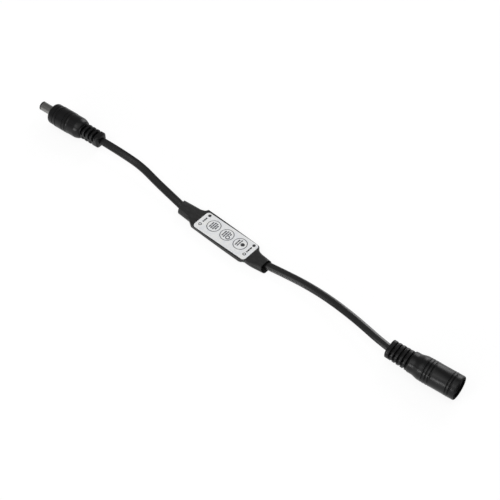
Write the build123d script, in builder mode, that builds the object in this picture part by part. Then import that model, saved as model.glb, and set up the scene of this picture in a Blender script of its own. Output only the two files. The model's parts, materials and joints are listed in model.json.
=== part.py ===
from build123d import *
import os
from math import cos, radians, sin, tan

# In-line three-key dimmer for LED strip light: a small board in a shrunk sleeve, fed through a
# barrel plug on a flat twin cord and feeding the strip through a barrel socket on another.
# Millimetres. The origin is on the surface under the middle of the sleeve's box, +X runs along
# the box towards the socket and +Z up through the label and the keys.

os.makedirs("parts", exist_ok=True)

# Sleeve shrunk over the board: a flat box, a shoulder at each end and two tails round the cords
box_length = 38.4
box_width = 14.4
box_top_radius = 0.5
box_bottom_radius = 1.9
box_end_rounding = 0.6
box_end_drop = 0.3
sleeve_wall = 0.35
shoulder_length = 1.5
shoulder_height = 3.55
shoulder_top_radius = 1.0
shoulder_bottom_radius = 1.5
neck_length = 2.7
tail_lift = 0.1
neck_height = 3.9
neck_roundness = 0.42
oval_roundness = 0.475
input_shoulder_width = 13.2
input_shoulder_shift = 0.3
input_neck_width = 10.0
input_neck_shift = 0.65
input_tail_length = 12.4
input_mouth_width = 8.7
input_mouth_height = 5.2
input_mouth_shift = -0.05
input_mouth_skew = 15
input_mouth_lean = 0
output_shoulder_width = 11.2
output_shoulder_shift = 0
output_neck_width = 10.0
output_neck_shift = -0.8
output_tail_length = 9.6
output_mouth_width = 8.2
output_mouth_height = 4.9
output_mouth_shift = -1.05
output_mouth_skew = 0
output_mouth_lean = 12

# Label film with one round opening for each key
label_end_margin = 0.4
label_side_margin = 0.65
label_thickness = 0.25
label_corner_radius = 2.0

# Round keys
key_count = 3
key_end_margin = 5.1
key_spacing = 1.55
key_row_offset = 0.15
key_row_shift = 0.8
key_gap = 0.12
key_dome = 0.3
key_window_clearance = 0.3

# Board, lying on its parts above the sleeve's floor
underside_room = 0.95
board_thickness = 0.6
board_end_gap = 0.3
board_side_gap = 0.7

# Low snap-dome switches
switch_size = 5.2
switch_corner_radius = 0.5
switch_base_height = 0.8
switch_floor = 0.25
switch_well_diameter = 4.4
switch_cover_thickness = 0.15
switch_foot_length = 0.8
switch_foot_width = 0.6
switch_foot_thickness = 0.18
dome_diameter = 4.0
dome_rise = 0.3
dome_thickness = 0.1
plunger_diameter = 2.4
plunger_rise = 0.35
plunger_flange_diameter = 3.4
plunger_flange_thickness = 0.2
plunger_play = 0.03
plunger_clearance = 0.15
key_seat_clearance = 0.05

# Parts on the underside of the board
chip_length = 4.9
chip_width = 3.9
chip_height = 0.75
chip_standoff = 0.05
chip_edge_chamfer = 0.24
chip_lead_count = 4
chip_lead_pitch = 1.27
chip_lead_width = 0.42
chip_lead_thickness = 0.2
chip_lead_reach = 1.05
control_chip_x = -8.5
power_transistor_x = 9.5
regulator_length = 2.9
regulator_width = 1.5
regulator_height = 0.8
regulator_draft = 5
regulator_x = 1.0
regulator_y = -3.2
resistor_length = 1.6
resistor_width = 0.8
resistor_height = 0.45
capacitor_length = 2.0
capacitor_width = 1.25
capacitor_height = 0.8
passive_pitch = 2.4

# Flat twin cord: two round lobes side by side, each round one conductor
cord_lobe_diameter = 2.3
cord_lobe_spacing = 2.3
cord_web_thickness = 1.2
conductor_diameter = 0.95
cord_entry_height = 1.9
cord_strip_gap = 2.0
cord_moulded_length = 2.4
conductor_straight = 0.9
conductor_climb_gap = 0.5
conductor_on_board = 3.2
conductor_bend_radius = 1.0
solder_foot_diameter = 1.7
solder_top_diameter = 1.2
solder_height = 1.2
solder_film = 0.06

# Barrel plug: 5.5 mm barrel round a 2.1 mm contact in a moulded grip
barrel_diameter = 5.5
barrel_root_diameter = 4.8
barrel_bore = 4.3
barrel_length = 9.5
barrel_root = 6.0
plug_tip_ring = 0.8
plug_contact_bore = 2.1
plug_contact_diameter = 3.0
plug_contact_recess = 0.9
plug_body_length = 24.6
plug_rear_diameter = 12.4
plug_grip_diameter = 12.9
plug_front_diameter = 12.3
plug_shoulder_length = 3.9
plug_shoulder_diameter = 9.0
plug_rear_length = 4.0
plug_rear_taper_length = 2.0
plug_front_length = 4.6
plug_step_length = 0.5
plug_front_rounding = 1.4
plug_front_grooves = (4.1,)
plug_grip_grooves = (6.4, 11.5, 13.7)
plug_relief_length = 14.1
plug_relief_width = 7.5
plug_relief_corner = 2.3
plug_slot_count = 4
plug_slot_pitch = 2.95
plug_slot_width = 1.45
plug_slot_start = 3.3

# Barrel socket in a longer moulded grip with a tapered strain relief
socket_relief_length = 13.4
socket_relief_start_width = 8.2
socket_relief_end_width = 9.1
socket_relief_corner = 3.1
socket_slot_count = 5
socket_slot_pitch = 2.36
socket_slot_width = 1.05
socket_slot_start = 2.45
socket_body_length = 27.4
socket_neck_diameter = 11.25
socket_neck_length = 3.2
socket_flare_length = 3.4
socket_flare_rounding = 3.0
socket_band_edge = 0.2
socket_body_diameter = 13.0
socket_bead_diameter = 13.4
socket_rear_band_start = 8.4
socket_rear_band_length = 5.1
socket_rear_grooves = (9.1, 10.9, 12.7)
socket_front_band_length = 3.0
socket_front_band_gap = 2.5
socket_front_grooves = (4.8, 3.2)
socket_front_rounding = 0.6
socket_insert_diameter = 9.8
socket_insert_recess = 0.9
socket_insert_length = 12.5
socket_bore = 6.2
socket_bore_depth = 10.0
socket_pin_diameter = 2.0
socket_pin_recess = 0.6
socket_pin_rounding = 0.5
socket_contact_width = 1.8
socket_contact_thickness = 0.3
socket_contact_bow = 0.6
socket_contact_slot_play = 0.2
socket_contact_slot_depth = 0.55
socket_contact_end_gap = 1.2

# Lie of the cords: how far along and to the side of the box each one ends, and the share of the
# shorter run that each bend may take
plug_reach = 99.7
plug_side = 4.28
socket_reach = 113.6
socket_side = 2.65
bend_share = 0.45

# Details shared by both grips
groove_width = 0.8
groove_depth = 0.4
groove_overcut = 0.1
relief_end_chamfer = 0.8
relief_core_wall = 0.6
relief_spine_height = 1.7

# Heights and places that follow from the sizes above
board_bottom = sleeve_wall + underside_room
board_top = board_bottom + board_thickness
switch_base_top = board_top + switch_base_height
switch_top = switch_base_top + switch_cover_thickness
key_seat = switch_top + plunger_rise
sleeve_ceiling = key_seat + key_seat_clearance
box_height = sleeve_ceiling + sleeve_wall
label_top = box_height + label_thickness
label_length = box_length - 2 * label_end_margin
label_width = box_width - 2 * label_side_margin
board_length = box_length - 2 * sleeve_wall - 2 * board_end_gap
board_width = box_width - 2 * sleeve_wall - 2 * board_side_gap
cord_width = cord_lobe_spacing + cord_lobe_diameter
cord_end = board_length / 2 + cord_strip_gap
plug_axis_height = plug_grip_diameter / 2
socket_axis_height = socket_bead_diameter / 2
key_diameter = (label_length - 2 * key_end_margin - (key_count - 1) * key_spacing) / key_count
key_pitch = key_diameter + key_spacing
key_places = [key_row_offset + key_pitch * (n - (key_count - 1) / 2) for n in range(key_count)]

# Plug and socket: the rear end of each strain relief and the way its axis points
plug_tail = Vector(-plug_reach, plug_side, plug_axis_height)
plug_direction = Vector(-1, -0.059, 0).normalized()
socket_tail = Vector(socket_reach, -socket_side, socket_axis_height)
socket_direction = Vector(1, 0.0952, 0).normalized()

# Routes of the two cords, from the stripped end beside the board into the strain relief
input_route = [
    Vector(-cord_end, 0, cord_entry_height),
    Vector(-27.5, 0, cord_entry_height),
    Vector(-38, 1.15, 3.2),
    Vector(-54, 3.1, 4.1),
    Vector(-70, 5.75, 5.2),
    Vector(-84, 5.1, 6.2),
    Vector(-93.2, 4.62, 6.4),
    plug_tail + plug_direction * cord_moulded_length,
]
output_route = [
    Vector(cord_end, 0, cord_entry_height),
    Vector(27.5, 0, cord_entry_height),
    Vector(38, 1.35, 2.6),
    Vector(54, 3.3, 3.3),
    Vector(70, 3.35, 4.3),
    Vector(86, 1.7, 5.5),
    Vector(98, -0.25, 6.28),
    Vector(107, -1.75, 6.6),
    socket_tail + socket_direction * cord_moulded_length,
]


# Sleeve: outer form less the same form drawn in by the wall, open at both mouths and under the keys


def sleeve_section(x, shift, lift, width, height, radii, inset, skew=0, lean=0):
    """Section of the sleeve at x, turned by skew and leaning back: outer sizes, drawn in by inset."""
    forward = cos(radians(lean))
    along = (cos(radians(skew)) * forward, sin(radians(skew)) * forward, sin(radians(lean)))
    level = (-sin(radians(skew)), cos(radians(skew)), 0)
    plane = Plane(origin=(x, shift, lift + height / 2), x_dir=level, z_dir=along)
    half_width = width / 2 - inset
    half_height = height / 2 - inset
    corners = [
        (-half_width, half_height),
        (half_width, half_height),
        (half_width, -half_height),
        (-half_width, -half_height),
    ]
    top, bottom = [radius - inset for radius in radii]
    with BuildSketch(plane) as section:
        with BuildLine():
            FilletPolyline(*corners, radius=[top, top, bottom, bottom], close=True)
        make_face()
    return section.sketch


def sleeve_end(side, shoulder_sizes, neck, mouth, inset):
    """Sections of one end of the sleeve: the box's rounded end and shoulder, then the tail to its mouth."""
    flat_end = box_length / 2 - box_end_rounding
    tail_start = box_length / 2 + shoulder_length
    shoulder_width, shoulder_shift = shoulder_sizes
    neck_width, neck_shift = neck
    length, width, height, shift, skew, lean = mouth
    box_radii = (box_top_radius, box_bottom_radius)
    end_width = box_width - 2 * box_end_drop
    end_height = box_height - box_end_drop
    shoulder_radii = (shoulder_top_radius, shoulder_bottom_radius)
    shoulder_form = (shoulder_width, shoulder_height, shoulder_radii, inset)
    shoulder = sleeve_section(side * tail_start, shoulder_shift, 0, *shoulder_form)
    end = [
        sleeve_section(side * flat_end, 0, 0, box_width, box_height, box_radii, inset),
        sleeve_section(side * box_length / 2, 0, 0, end_width, end_height, box_radii, inset),
        shoulder,
    ]
    neck_x = tail_start + neck_length
    mouth_x = tail_start + length
    neck_radius = neck_height * neck_roundness
    mouth_radius = height * oval_roundness
    places = [
        (neck_x, neck_shift, neck_width, neck_height, neck_radius, 0, 0),
        (mouth_x, shift, width, height, mouth_radius, skew, lean),
    ]
    places.insert(1, [sum(pair) / 2 for pair in zip(*places)])
    tail = [shoulder]
    for x, offset, section_width, section_height, radius, turn, tilt in places:
        radii = (radius, radius)
        sizes = (section_width, section_height, radii, inset, turn, tilt)
        tail.append(sleeve_section(side * x, offset, tail_lift, *sizes))
    return end, tail


def sleeve_form(inset):
    """Box, rounded ends, shoulders and tails of the sleeve, drawn in by inset all round."""
    input_mouth = (
        input_tail_length,
        input_mouth_width,
        input_mouth_height,
        input_mouth_shift,
        input_mouth_skew,
        input_mouth_lean,
    )
    output_mouth = (
        output_tail_length,
        output_mouth_width,
        output_mouth_height,
        output_mouth_shift,
        output_mouth_skew,
        output_mouth_lean,
    )
    input_shoulder = (input_shoulder_width, input_shoulder_shift)
    output_shoulder = (output_shoulder_width, output_shoulder_shift)
    input_neck = (input_neck_width, input_neck_shift)
    output_neck = (output_neck_width, output_neck_shift)
    input_end, input_tail = sleeve_end(-1, input_shoulder, input_neck, input_mouth, inset)
    output_end, output_tail = sleeve_end(1, output_shoulder, output_neck, output_mouth, inset)
    with BuildPart() as form:
        extrude(input_end[0], amount=box_length - 2 * box_end_rounding)
        loft(input_end, ruled=True)
        loft(output_end, ruled=True)
        loft(input_tail)
        loft(output_tail)
    return form.part


outer_form = sleeve_form(0)
inner_form = sleeve_form(sleeve_wall)
with BuildPart() as sleeve:
    add(outer_form)
    add(inner_form, mode=Mode.SUBTRACT)
    with BuildSketch(Plane.XY.offset(box_height)):
        with Locations([(x, key_row_shift) for x in key_places]):
            Circle(key_diameter / 2 + key_window_clearance)
    extrude(amount=-2 * sleeve_wall, mode=Mode.SUBTRACT)
sleeve.part.label = "heat_shrink_sleeve"
export_step(sleeve.part, "parts/heat_shrink_sleeve.step")

# Label film on the flat top of the box
with BuildPart() as label:
    with BuildSketch(Plane.XY.offset(box_height)):
        RectangleRounded(label_length, label_width, label_corner_radius)
        with Locations([(x, key_row_shift) for x in key_places]):
            Circle(key_diameter / 2 + key_gap, mode=Mode.SUBTRACT)
    extrude(amount=label_thickness)
label.part.label = "legend_label"
export_step(label.part, "parts/legend_label.step")

# Board that carries the switches above and the circuit below
with BuildPart() as board:
    with BuildSketch(Plane.XY.offset(board_bottom)):
        Rectangle(board_length, board_width)
    extrude(amount=board_thickness)
board.part.label = "circuit_board"
export_step(board.part, "parts/circuit_board.step")

# One key and its switch at each place along the row
for number, x in enumerate(key_places, start=1):
    with BuildPart() as key:
        with BuildSketch(Plane(origin=(x, key_row_shift, 0), x_dir=(1, 0, 0), z_dir=(0, -1, 0))):
            with BuildLine():
                Line((0, key_seat), (key_diameter / 2, key_seat))
                Line((key_diameter / 2, key_seat), (key_diameter / 2, label_top))
                TangentArc((0, label_top + key_dome), (key_diameter / 2, label_top), tangent=(1, 0))
                Line((0, label_top + key_dome), (0, key_seat))
            make_face()
        revolve(axis=Axis((x, key_row_shift, 0), (0, 0, 1)))
    key.part.label = f"key_{number}"
    export_step(key.part, f"parts/key_{number}.step")

    with BuildPart() as base:
        with BuildSketch(Plane.XY.offset(board_top)):
            with Locations((x, key_row_shift)):
                RectangleRounded(switch_size, switch_size, switch_corner_radius)
        extrude(amount=switch_base_height)
        with BuildSketch(Plane.XY.offset(board_top + switch_floor)):
            with Locations((x, key_row_shift)):
                Circle(switch_well_diameter / 2)
        extrude(amount=switch_base_height, mode=Mode.SUBTRACT)
    base.part.label = f"switch_base_{number}"
    export_step(base.part, f"parts/switch_base_{number}.step")

    with BuildPart() as feet:
        foot_y = (switch_size + switch_foot_length) / 2
        with BuildSketch(Plane.XY.offset(board_top)):
            with Locations((x, key_row_shift)):
                with GridLocations(switch_size - 2 * switch_foot_width, 2 * foot_y, 2, 2):
                    Rectangle(switch_foot_width, switch_foot_length)
        extrude(amount=switch_foot_thickness)
    feet.part.label = f"switch_feet_{number}"
    export_step(feet.part, f"parts/switch_feet_{number}.step")

    with BuildPart() as cover:
        with BuildSketch(Plane.XY.offset(switch_base_top)):
            with Locations((x, key_row_shift)):
                RectangleRounded(switch_size, switch_size, switch_corner_radius)
                Circle(plunger_diameter / 2 + plunger_clearance, mode=Mode.SUBTRACT)
        extrude(amount=switch_cover_thickness)
    cover.part.label = f"switch_cover_{number}"
    export_step(cover.part, f"parts/switch_cover_{number}.step")

    well_floor = board_top + switch_floor
    with BuildPart() as dome:
        with BuildSketch(Plane(origin=(x, key_row_shift, 0), x_dir=(1, 0, 0), z_dir=(0, -1, 0))):
            with BuildLine():
                rim = dome_diameter / 2
                apex = well_floor + dome_rise
                TangentArc((0, apex), (rim, well_floor + dome_thickness), tangent=(1, 0))
                Line((rim, well_floor + dome_thickness), (rim, well_floor))
                TangentArc((0, apex - dome_thickness), (rim, well_floor), tangent=(1, 0))
                Line((0, apex - dome_thickness), (0, apex))
            make_face()
        revolve(axis=Axis((x, key_row_shift, 0), (0, 0, 1)))
    dome.part.label = f"snap_dome_{number}"
    export_step(dome.part, f"parts/snap_dome_{number}.step")

    flange_top = switch_base_top - plunger_play
    with BuildPart() as plunger:
        with BuildSketch(Plane.XY.offset(flange_top - plunger_flange_thickness)):
            with Locations((x, key_row_shift)):
                Circle(plunger_flange_diameter / 2)
        extrude(amount=plunger_flange_thickness)
        with BuildSketch(Plane.XY.offset(flange_top)):
            with Locations((x, key_row_shift)):
                Circle(plunger_diameter / 2)
        extrude(amount=key_seat - flange_top)
    plunger.part.label = f"switch_plunger_{number}"
    export_step(plunger.part, f"parts/switch_plunger_{number}.step")

# Two eight-lead packages under the board: the control chip and the power transistor
for name, x in (("control_chip", control_chip_x), ("power_transistor", power_transistor_x)):
    chip_face = board_bottom - chip_standoff
    with BuildPart() as chip:
        with BuildSketch(Plane.XY.offset(chip_face)):
            with Locations((x, 0)):
                Rectangle(chip_length, chip_width)
        extrude(amount=-chip_height)
        chamfer(chip.edges().group_by(Axis.Z)[0].sort_by(Axis.Y)[0], chip_edge_chamfer)
    chip.part.label = name
    export_step(chip.part, f"parts/{name}.step")

    lead_height = chip_standoff + chip_height / 2
    with BuildPart() as leads:
        for side in (-1, 1):
            lead_plane = Plane(origin=(x, 0, board_bottom), x_dir=(0, side, 0), z_dir=(side, 0, 0))
            starts = [chip_lead_pitch * (n - (chip_lead_count - 1) / 2) for n in range(chip_lead_count)]
            with BuildSketch(*[lead_plane.offset(s - chip_lead_width / 2) for s in starts]):
                with BuildLine():
                    body_face = chip_width / 2
                    knee = body_face + chip_lead_reach / 2
                    Polyline(
                        (body_face, -lead_height),
                        (knee, -lead_height),
                        (knee, -chip_lead_thickness),
                        (body_face + chip_lead_reach, -chip_lead_thickness),
                        (body_face + chip_lead_reach, 0),
                        (knee - chip_lead_thickness, 0),
                        (knee - chip_lead_thickness, chip_lead_thickness - lead_height),
                        (body_face, chip_lead_thickness - lead_height),
                        close=True,
                    )
                make_face()
            extrude(amount=chip_lead_width)
    leads.part.label = f"{name}_leads"
    export_step(leads.part, f"parts/{name}_leads.step")

# Small regulator and the chip resistors and capacitors, soldered flat to the underside
with BuildPart() as regulator:
    with BuildSketch(Plane.XY.offset(board_bottom)):
        with Locations((regulator_x, regulator_y)):
            Rectangle(regulator_length, regulator_width)
    extrude(amount=-regulator_height, taper=regulator_draft)
regulator.part.label = "voltage_regulator"
export_step(regulator.part, "parts/voltage_regulator.step")

with BuildPart() as resistors:
    with BuildSketch(Plane.XY.offset(board_bottom)):
        with Locations((regulator_x, -regulator_y)):
            with GridLocations(passive_pitch, passive_pitch, 2, 2):
                Rectangle(resistor_length, resistor_width)
    extrude(amount=-resistor_height)
resistors.part.label = "chip_resistors"
export_step(resistors.part, "parts/chip_resistors.step")

with BuildPart() as capacitors:
    with BuildSketch(Plane.XY.offset(board_bottom)):
        with Locations((regulator_x, 0)):
            with GridLocations(passive_pitch, passive_pitch, 2, 1):
                Rectangle(capacitor_length, capacitor_width)
    extrude(amount=-capacitor_height)
capacitors.part.label = "chip_capacitors"
export_step(capacitors.part, "parts/chip_capacitors.step")

# Bare conductors, from the stripped cord up onto the board, and the solder that holds them
conductor_height = board_top + solder_film + conductor_diameter / 2
for name, side in (("input", -1), ("output", 1)):
    with BuildPart() as conductors:
        for y in (-cord_lobe_spacing / 2, cord_lobe_spacing / 2):
            with BuildLine() as lead_path:
                FilletPolyline(
                    (side * cord_end, y, cord_entry_height),
                    (side * (cord_end - conductor_straight), y, cord_entry_height),
                    (side * (board_length / 2 + conductor_climb_gap), y, conductor_height),
                    (side * (board_length / 2 - conductor_on_board), y, conductor_height),
                    radius=conductor_bend_radius,
                )
            with BuildSketch(Plane(origin=lead_path.line @ 0, z_dir=lead_path.line % 0)):
                Circle(conductor_diameter / 2)
            sweep(path=lead_path.line)
    conductors.part.label = f"{name}_conductors"
    export_step(conductors.part, f"parts/{name}_conductors.step")

    solder_x = side * (board_length / 2 - conductor_on_board / 2)
    with BuildPart() as solder:
        for y in (-cord_lobe_spacing / 2, cord_lobe_spacing / 2):
            with Locations((solder_x, y, board_top)):
                Cone(
                    solder_foot_diameter / 2,
                    solder_top_diameter / 2,
                    solder_height,
                    align=(Align.CENTER, Align.CENTER, Align.MIN),
                )
        add(conductors.part, mode=Mode.SUBTRACT)
    solder.part.label = f"{name}_solder"
    export_step(solder.part, f"parts/{name}_solder.step")

# Flat twin cords: straight runs joined by the largest arcs that they allow


def bend_radii(route):
    """Radius at each inner point: its share of the shorter run over the tangent of half the turn."""
    radii = []
    for before, point, after in zip(route, route[1:], route[2:]):
        half_turn = radians((point - before).get_angle(after - point)) / 2
        shorter_run = min((point - before).length, (after - point).length)
        radii.append(bend_share * shorter_run / tan(half_turn))
    return radii


cords = {}
for name, route in (("input", input_route), ("output", output_route)):
    radii = bend_radii(route)
    with BuildPart() as cord:
        with BuildLine():
            run = FilletPolyline(*route, radius=radii)
        start = run % 0
        with BuildSketch(Plane(origin=route[0], x_dir=Vector(0, 0, 1).cross(start), z_dir=start)) as section:
            with Locations((-cord_lobe_spacing / 2, 0), (cord_lobe_spacing / 2, 0)):
                Circle(cord_lobe_diameter / 2)
            Rectangle(cord_lobe_spacing, cord_web_thickness)
        sweep(path=run)
    cords[name] = cord.part
    cord.part.label = f"{name}_cord"
    export_step(cord.part, f"parts/{name}_cord.step")
    length = run.length
    print(name, "cord radii", [round(radius, 1) for radius in radii], "length", round(length, 2))
    expected = section.sketch.area * length
    print(name, "cord volume", round(cord.part.volume, 2), "section by length", round(expected, 2))

# Moulded grips: each strain relief is moulded round the end of its cord, its slots staggered by half a pitch


def relief_slots(cross, places, reach, face):
    """Slots across one face of a strain relief, clear of its core and of its two side spines."""
    with BuildSketch(*[cross.offset(place) for place in places]) as slots:
        with Locations((0, face * reach)):
            Rectangle(2 * reach, 2 * reach)
        Rectangle(2 * reach, relief_spine_height, mode=Mode.SUBTRACT)
        core_width = cord_width + 2 * relief_core_wall
        core_height = cord_lobe_diameter + 2 * relief_core_wall
        RectangleRounded(core_width, core_height, core_height * oval_roundness, mode=Mode.SUBTRACT)
    return slots.sketch


def slot_places(start, pitch, count):
    """Starts of the slots in the top face, and of those in the underside, half a pitch further on."""
    top = [start + n * pitch for n in range(count)]
    under = [place + pitch / 2 for place in top[:-1]]
    return top, under


def ring_grooves(along, places, diameter):
    """V-shaped sections that cut a ring into a grip of the given diameter at each place along its axis."""
    with BuildSketch(along) as grooves:
        for place in places:
            with BuildLine():
                rim = diameter / 2 + groove_overcut
                Polyline(
                    (place - groove_width / 2, rim),
                    (place, diameter / 2 - groove_depth),
                    (place + groove_width / 2, rim),
                    close=True,
                )
            make_face()
    return grooves.sketch


plug_axis = Axis(plug_tail, plug_direction)
plug_along = Plane(origin=plug_tail, x_dir=plug_direction, z_dir=(0, 0, 1))
plug_cross = Plane(origin=plug_tail, x_dir=plug_along.y_dir, z_dir=plug_direction)
plug_front = plug_relief_length + plug_body_length
plug_tip = plug_front + barrel_length
plug_bore_floor = plug_front - barrel_root

plug_top_places, plug_under_places = slot_places(plug_slot_start, plug_slot_pitch, plug_slot_count)
plug_top_slots = relief_slots(plug_cross, plug_top_places, plug_relief_width, 1)
plug_under_slots = relief_slots(plug_cross, plug_under_places, plug_relief_width, -1)
front_places = [plug_front - place for place in plug_front_grooves]
grip_places = [plug_front - place for place in plug_grip_grooves]
plug_front_rings = ring_grooves(plug_along, front_places, plug_front_diameter)
plug_grip_rings = ring_grooves(plug_along, grip_places, plug_grip_diameter)
with BuildPart() as plug_grip:
    with BuildSketch(plug_cross):
        RectangleRounded(plug_relief_width, plug_relief_width, plug_relief_corner)
    extrude(amount=plug_relief_length + plug_shoulder_length)
    chamfer(plug_grip.faces().sort_by(plug_axis)[0].edges(), relief_end_chamfer)
    extrude(plug_top_slots, amount=plug_slot_width, mode=Mode.SUBTRACT)
    extrude(plug_under_slots, amount=plug_slot_width, mode=Mode.SUBTRACT)
    with BuildSketch(plug_along):
        with BuildLine():
            shoulder = (plug_relief_length, plug_shoulder_diameter / 2)
            rear_start = (plug_relief_length + plug_shoulder_length, plug_rear_diameter / 2)
            rear_end = rear_start[0] + plug_rear_length
            front_start = plug_front - plug_front_length
            rounding_start = (plug_front - plug_front_rounding, plug_front_diameter / 2)
            rounding_end = (plug_front, plug_front_diameter / 2 - plug_front_rounding)
            Line((plug_relief_length, 0), shoulder)
            TangentArc(rear_start, shoulder, tangent=(-1, 0))
            Polyline(
                rear_start,
                (rear_end, plug_rear_diameter / 2),
                (rear_end + plug_rear_taper_length, plug_grip_diameter / 2),
                (front_start - plug_step_length, plug_grip_diameter / 2),
                (front_start, plug_front_diameter / 2),
                rounding_start,
            )
            TangentArc(rounding_start, rounding_end, tangent=(1, 0))
            Polyline(rounding_end, (plug_front, 0), (plug_relief_length, 0))
        make_face()
    revolve(axis=plug_axis)
    revolve(plug_front_rings, axis=plug_axis, mode=Mode.SUBTRACT)
    revolve(plug_grip_rings, axis=plug_axis, mode=Mode.SUBTRACT)
    with BuildSketch(plug_cross.offset(plug_bore_floor)):
        Circle(barrel_root_diameter / 2)
    extrude(amount=barrel_root, mode=Mode.SUBTRACT)
    add(cords["input"], mode=Mode.SUBTRACT)
plug_grip.part.label = "plug_grip"
export_step(plug_grip.part, "parts/plug_grip.step")

# Plug contacts: plated barrel, insulator with a ring at the tip, and the sprung tube inside it
with BuildPart() as barrel:
    with BuildSketch(plug_cross.offset(plug_bore_floor)):
        Circle(barrel_root_diameter / 2)
    extrude(amount=barrel_root)
    with BuildSketch(plug_cross.offset(plug_front)):
        Circle(barrel_diameter / 2)
    extrude(amount=barrel_length - plug_tip_ring)
    with BuildSketch(plug_cross.offset(plug_bore_floor)):
        Circle(barrel_bore / 2)
    extrude(amount=barrel_root + barrel_length, mode=Mode.SUBTRACT)
barrel.part.label = "plug_barrel"
export_step(barrel.part, "parts/plug_barrel.step")

with BuildPart() as insulator:
    with BuildSketch(plug_cross.offset(plug_bore_floor)):
        Circle(barrel_bore / 2)
    extrude(amount=barrel_root + barrel_length)
    with BuildSketch(plug_cross.offset(plug_tip - plug_tip_ring)):
        Circle(barrel_diameter / 2)
    extrude(amount=plug_tip_ring)
    with BuildSketch(plug_cross.offset(plug_bore_floor)):
        Circle(plug_contact_diameter / 2)
    extrude(amount=barrel_root + barrel_length, mode=Mode.SUBTRACT)
insulator.part.label = "plug_insulator"
export_step(insulator.part, "parts/plug_insulator.step")

with BuildPart() as contact:
    with BuildSketch(plug_cross.offset(plug_bore_floor)):
        Circle(plug_contact_diameter / 2)
        Circle(plug_contact_bore / 2, mode=Mode.SUBTRACT)
    extrude(amount=barrel_root + barrel_length - plug_contact_recess)
contact.part.label = "plug_contact"
export_step(contact.part, "parts/plug_contact.step")

# Socket: a tapered strain relief, a neck that flares into the grip, and two bands of ring grooves
socket_axis = Axis(socket_tail, socket_direction)
socket_along = Plane(origin=socket_tail, x_dir=socket_direction, z_dir=(0, 0, 1))
socket_cross = Plane(origin=socket_tail, x_dir=socket_along.y_dir, z_dir=socket_direction)
socket_upright = Plane(origin=socket_tail, x_dir=socket_direction, z_dir=-socket_along.y_dir)
socket_mouth = socket_relief_length + socket_body_length
insert_face = socket_mouth - socket_insert_recess
insert_back = insert_face - socket_insert_length
bore_floor = insert_face - socket_bore_depth
contact_slot_top = socket_bore / 2 + socket_contact_slot_depth

socket_top_places, socket_under_places = slot_places(socket_slot_start, socket_slot_pitch, socket_slot_count)
socket_top_slots = relief_slots(socket_cross, socket_top_places, socket_relief_end_width, 1)
socket_under_slots = relief_slots(socket_cross, socket_under_places, socket_relief_end_width, -1)
socket_front_band = socket_body_length - socket_front_band_gap - socket_front_band_length
ring_places = [socket_relief_length + place for place in socket_rear_grooves]
ring_places += [socket_mouth - place for place in socket_front_grooves]
socket_rings = ring_grooves(socket_along, ring_places, socket_bead_diameter)
with BuildPart() as socket_grip:
    with BuildSketch(socket_cross):
        RectangleRounded(socket_relief_start_width, socket_relief_start_width, socket_relief_corner)
    with BuildSketch(socket_cross.offset(socket_relief_length)):
        RectangleRounded(socket_relief_end_width, socket_relief_end_width, socket_relief_corner)
    loft()
    chamfer(socket_grip.faces().sort_by(socket_axis)[0].edges(), relief_end_chamfer)
    extrude(socket_top_slots, amount=socket_slot_width, mode=Mode.SUBTRACT)
    extrude(socket_under_slots, amount=socket_slot_width, mode=Mode.SUBTRACT)
    with BuildSketch(socket_along):
        with BuildLine():
            start = socket_relief_length
            flare = start + socket_neck_length
            full = flare + socket_flare_length
            body = socket_body_diameter / 2
            bead = socket_bead_diameter / 2
            profile = [
                (start, 0),
                (start, socket_neck_diameter / 2),
                (flare, socket_neck_diameter / 2),
                (full, body),
            ]
            corners = [0, 0, socket_flare_rounding, socket_flare_rounding]
            for band_start, band_length in (
                (socket_rear_band_start, socket_rear_band_length),
                (socket_front_band, socket_front_band_length),
            ):
                band = start + band_start
                profile += [
                    (band, body),
                    (band + socket_band_edge, bead),
                    (band + band_length - socket_band_edge, bead),
                    (band + band_length, body),
                ]
                corners += [0, 0, 0, 0]
            profile += [(socket_mouth, body), (socket_mouth, 0)]
            corners += [socket_front_rounding, 0]
            FilletPolyline(*profile, radius=corners, close=True)
        make_face()
    revolve(axis=socket_axis)
    revolve(socket_rings, axis=socket_axis, mode=Mode.SUBTRACT)
    with BuildSketch(socket_cross.offset(insert_back)):
        Circle(socket_insert_diameter / 2)
    extrude(amount=socket_insert_length + socket_insert_recess, mode=Mode.SUBTRACT)
    add(cords["output"], mode=Mode.SUBTRACT)
socket_grip.part.label = "socket_grip"
export_step(socket_grip.part, "parts/socket_grip.step")

# Socket insert with its bore, the centre pin and the bowed leaf that grips the plug's barrel
with BuildPart() as insert:
    with BuildSketch(socket_cross.offset(insert_back)):
        Circle(socket_insert_diameter / 2)
    extrude(amount=socket_insert_length)
    with BuildSketch(socket_cross.offset(bore_floor)):
        Circle(socket_bore / 2)
        with Locations((0, contact_slot_top / 2)):
            Rectangle(socket_contact_width + 2 * socket_contact_slot_play, contact_slot_top)
    extrude(amount=socket_bore_depth, mode=Mode.SUBTRACT)
insert.part.label = "socket_insert"
export_step(insert.part, "parts/socket_insert.step")

with BuildPart() as pin:
    with BuildSketch(socket_cross.offset(bore_floor)):
        Circle(socket_pin_diameter / 2)
    extrude(amount=socket_bore_depth - socket_pin_recess)
    fillet(pin.edges().sort_by(socket_axis)[-1], socket_pin_rounding)
pin.part.label = "socket_pin"
export_step(pin.part, "parts/socket_pin.step")

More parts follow.
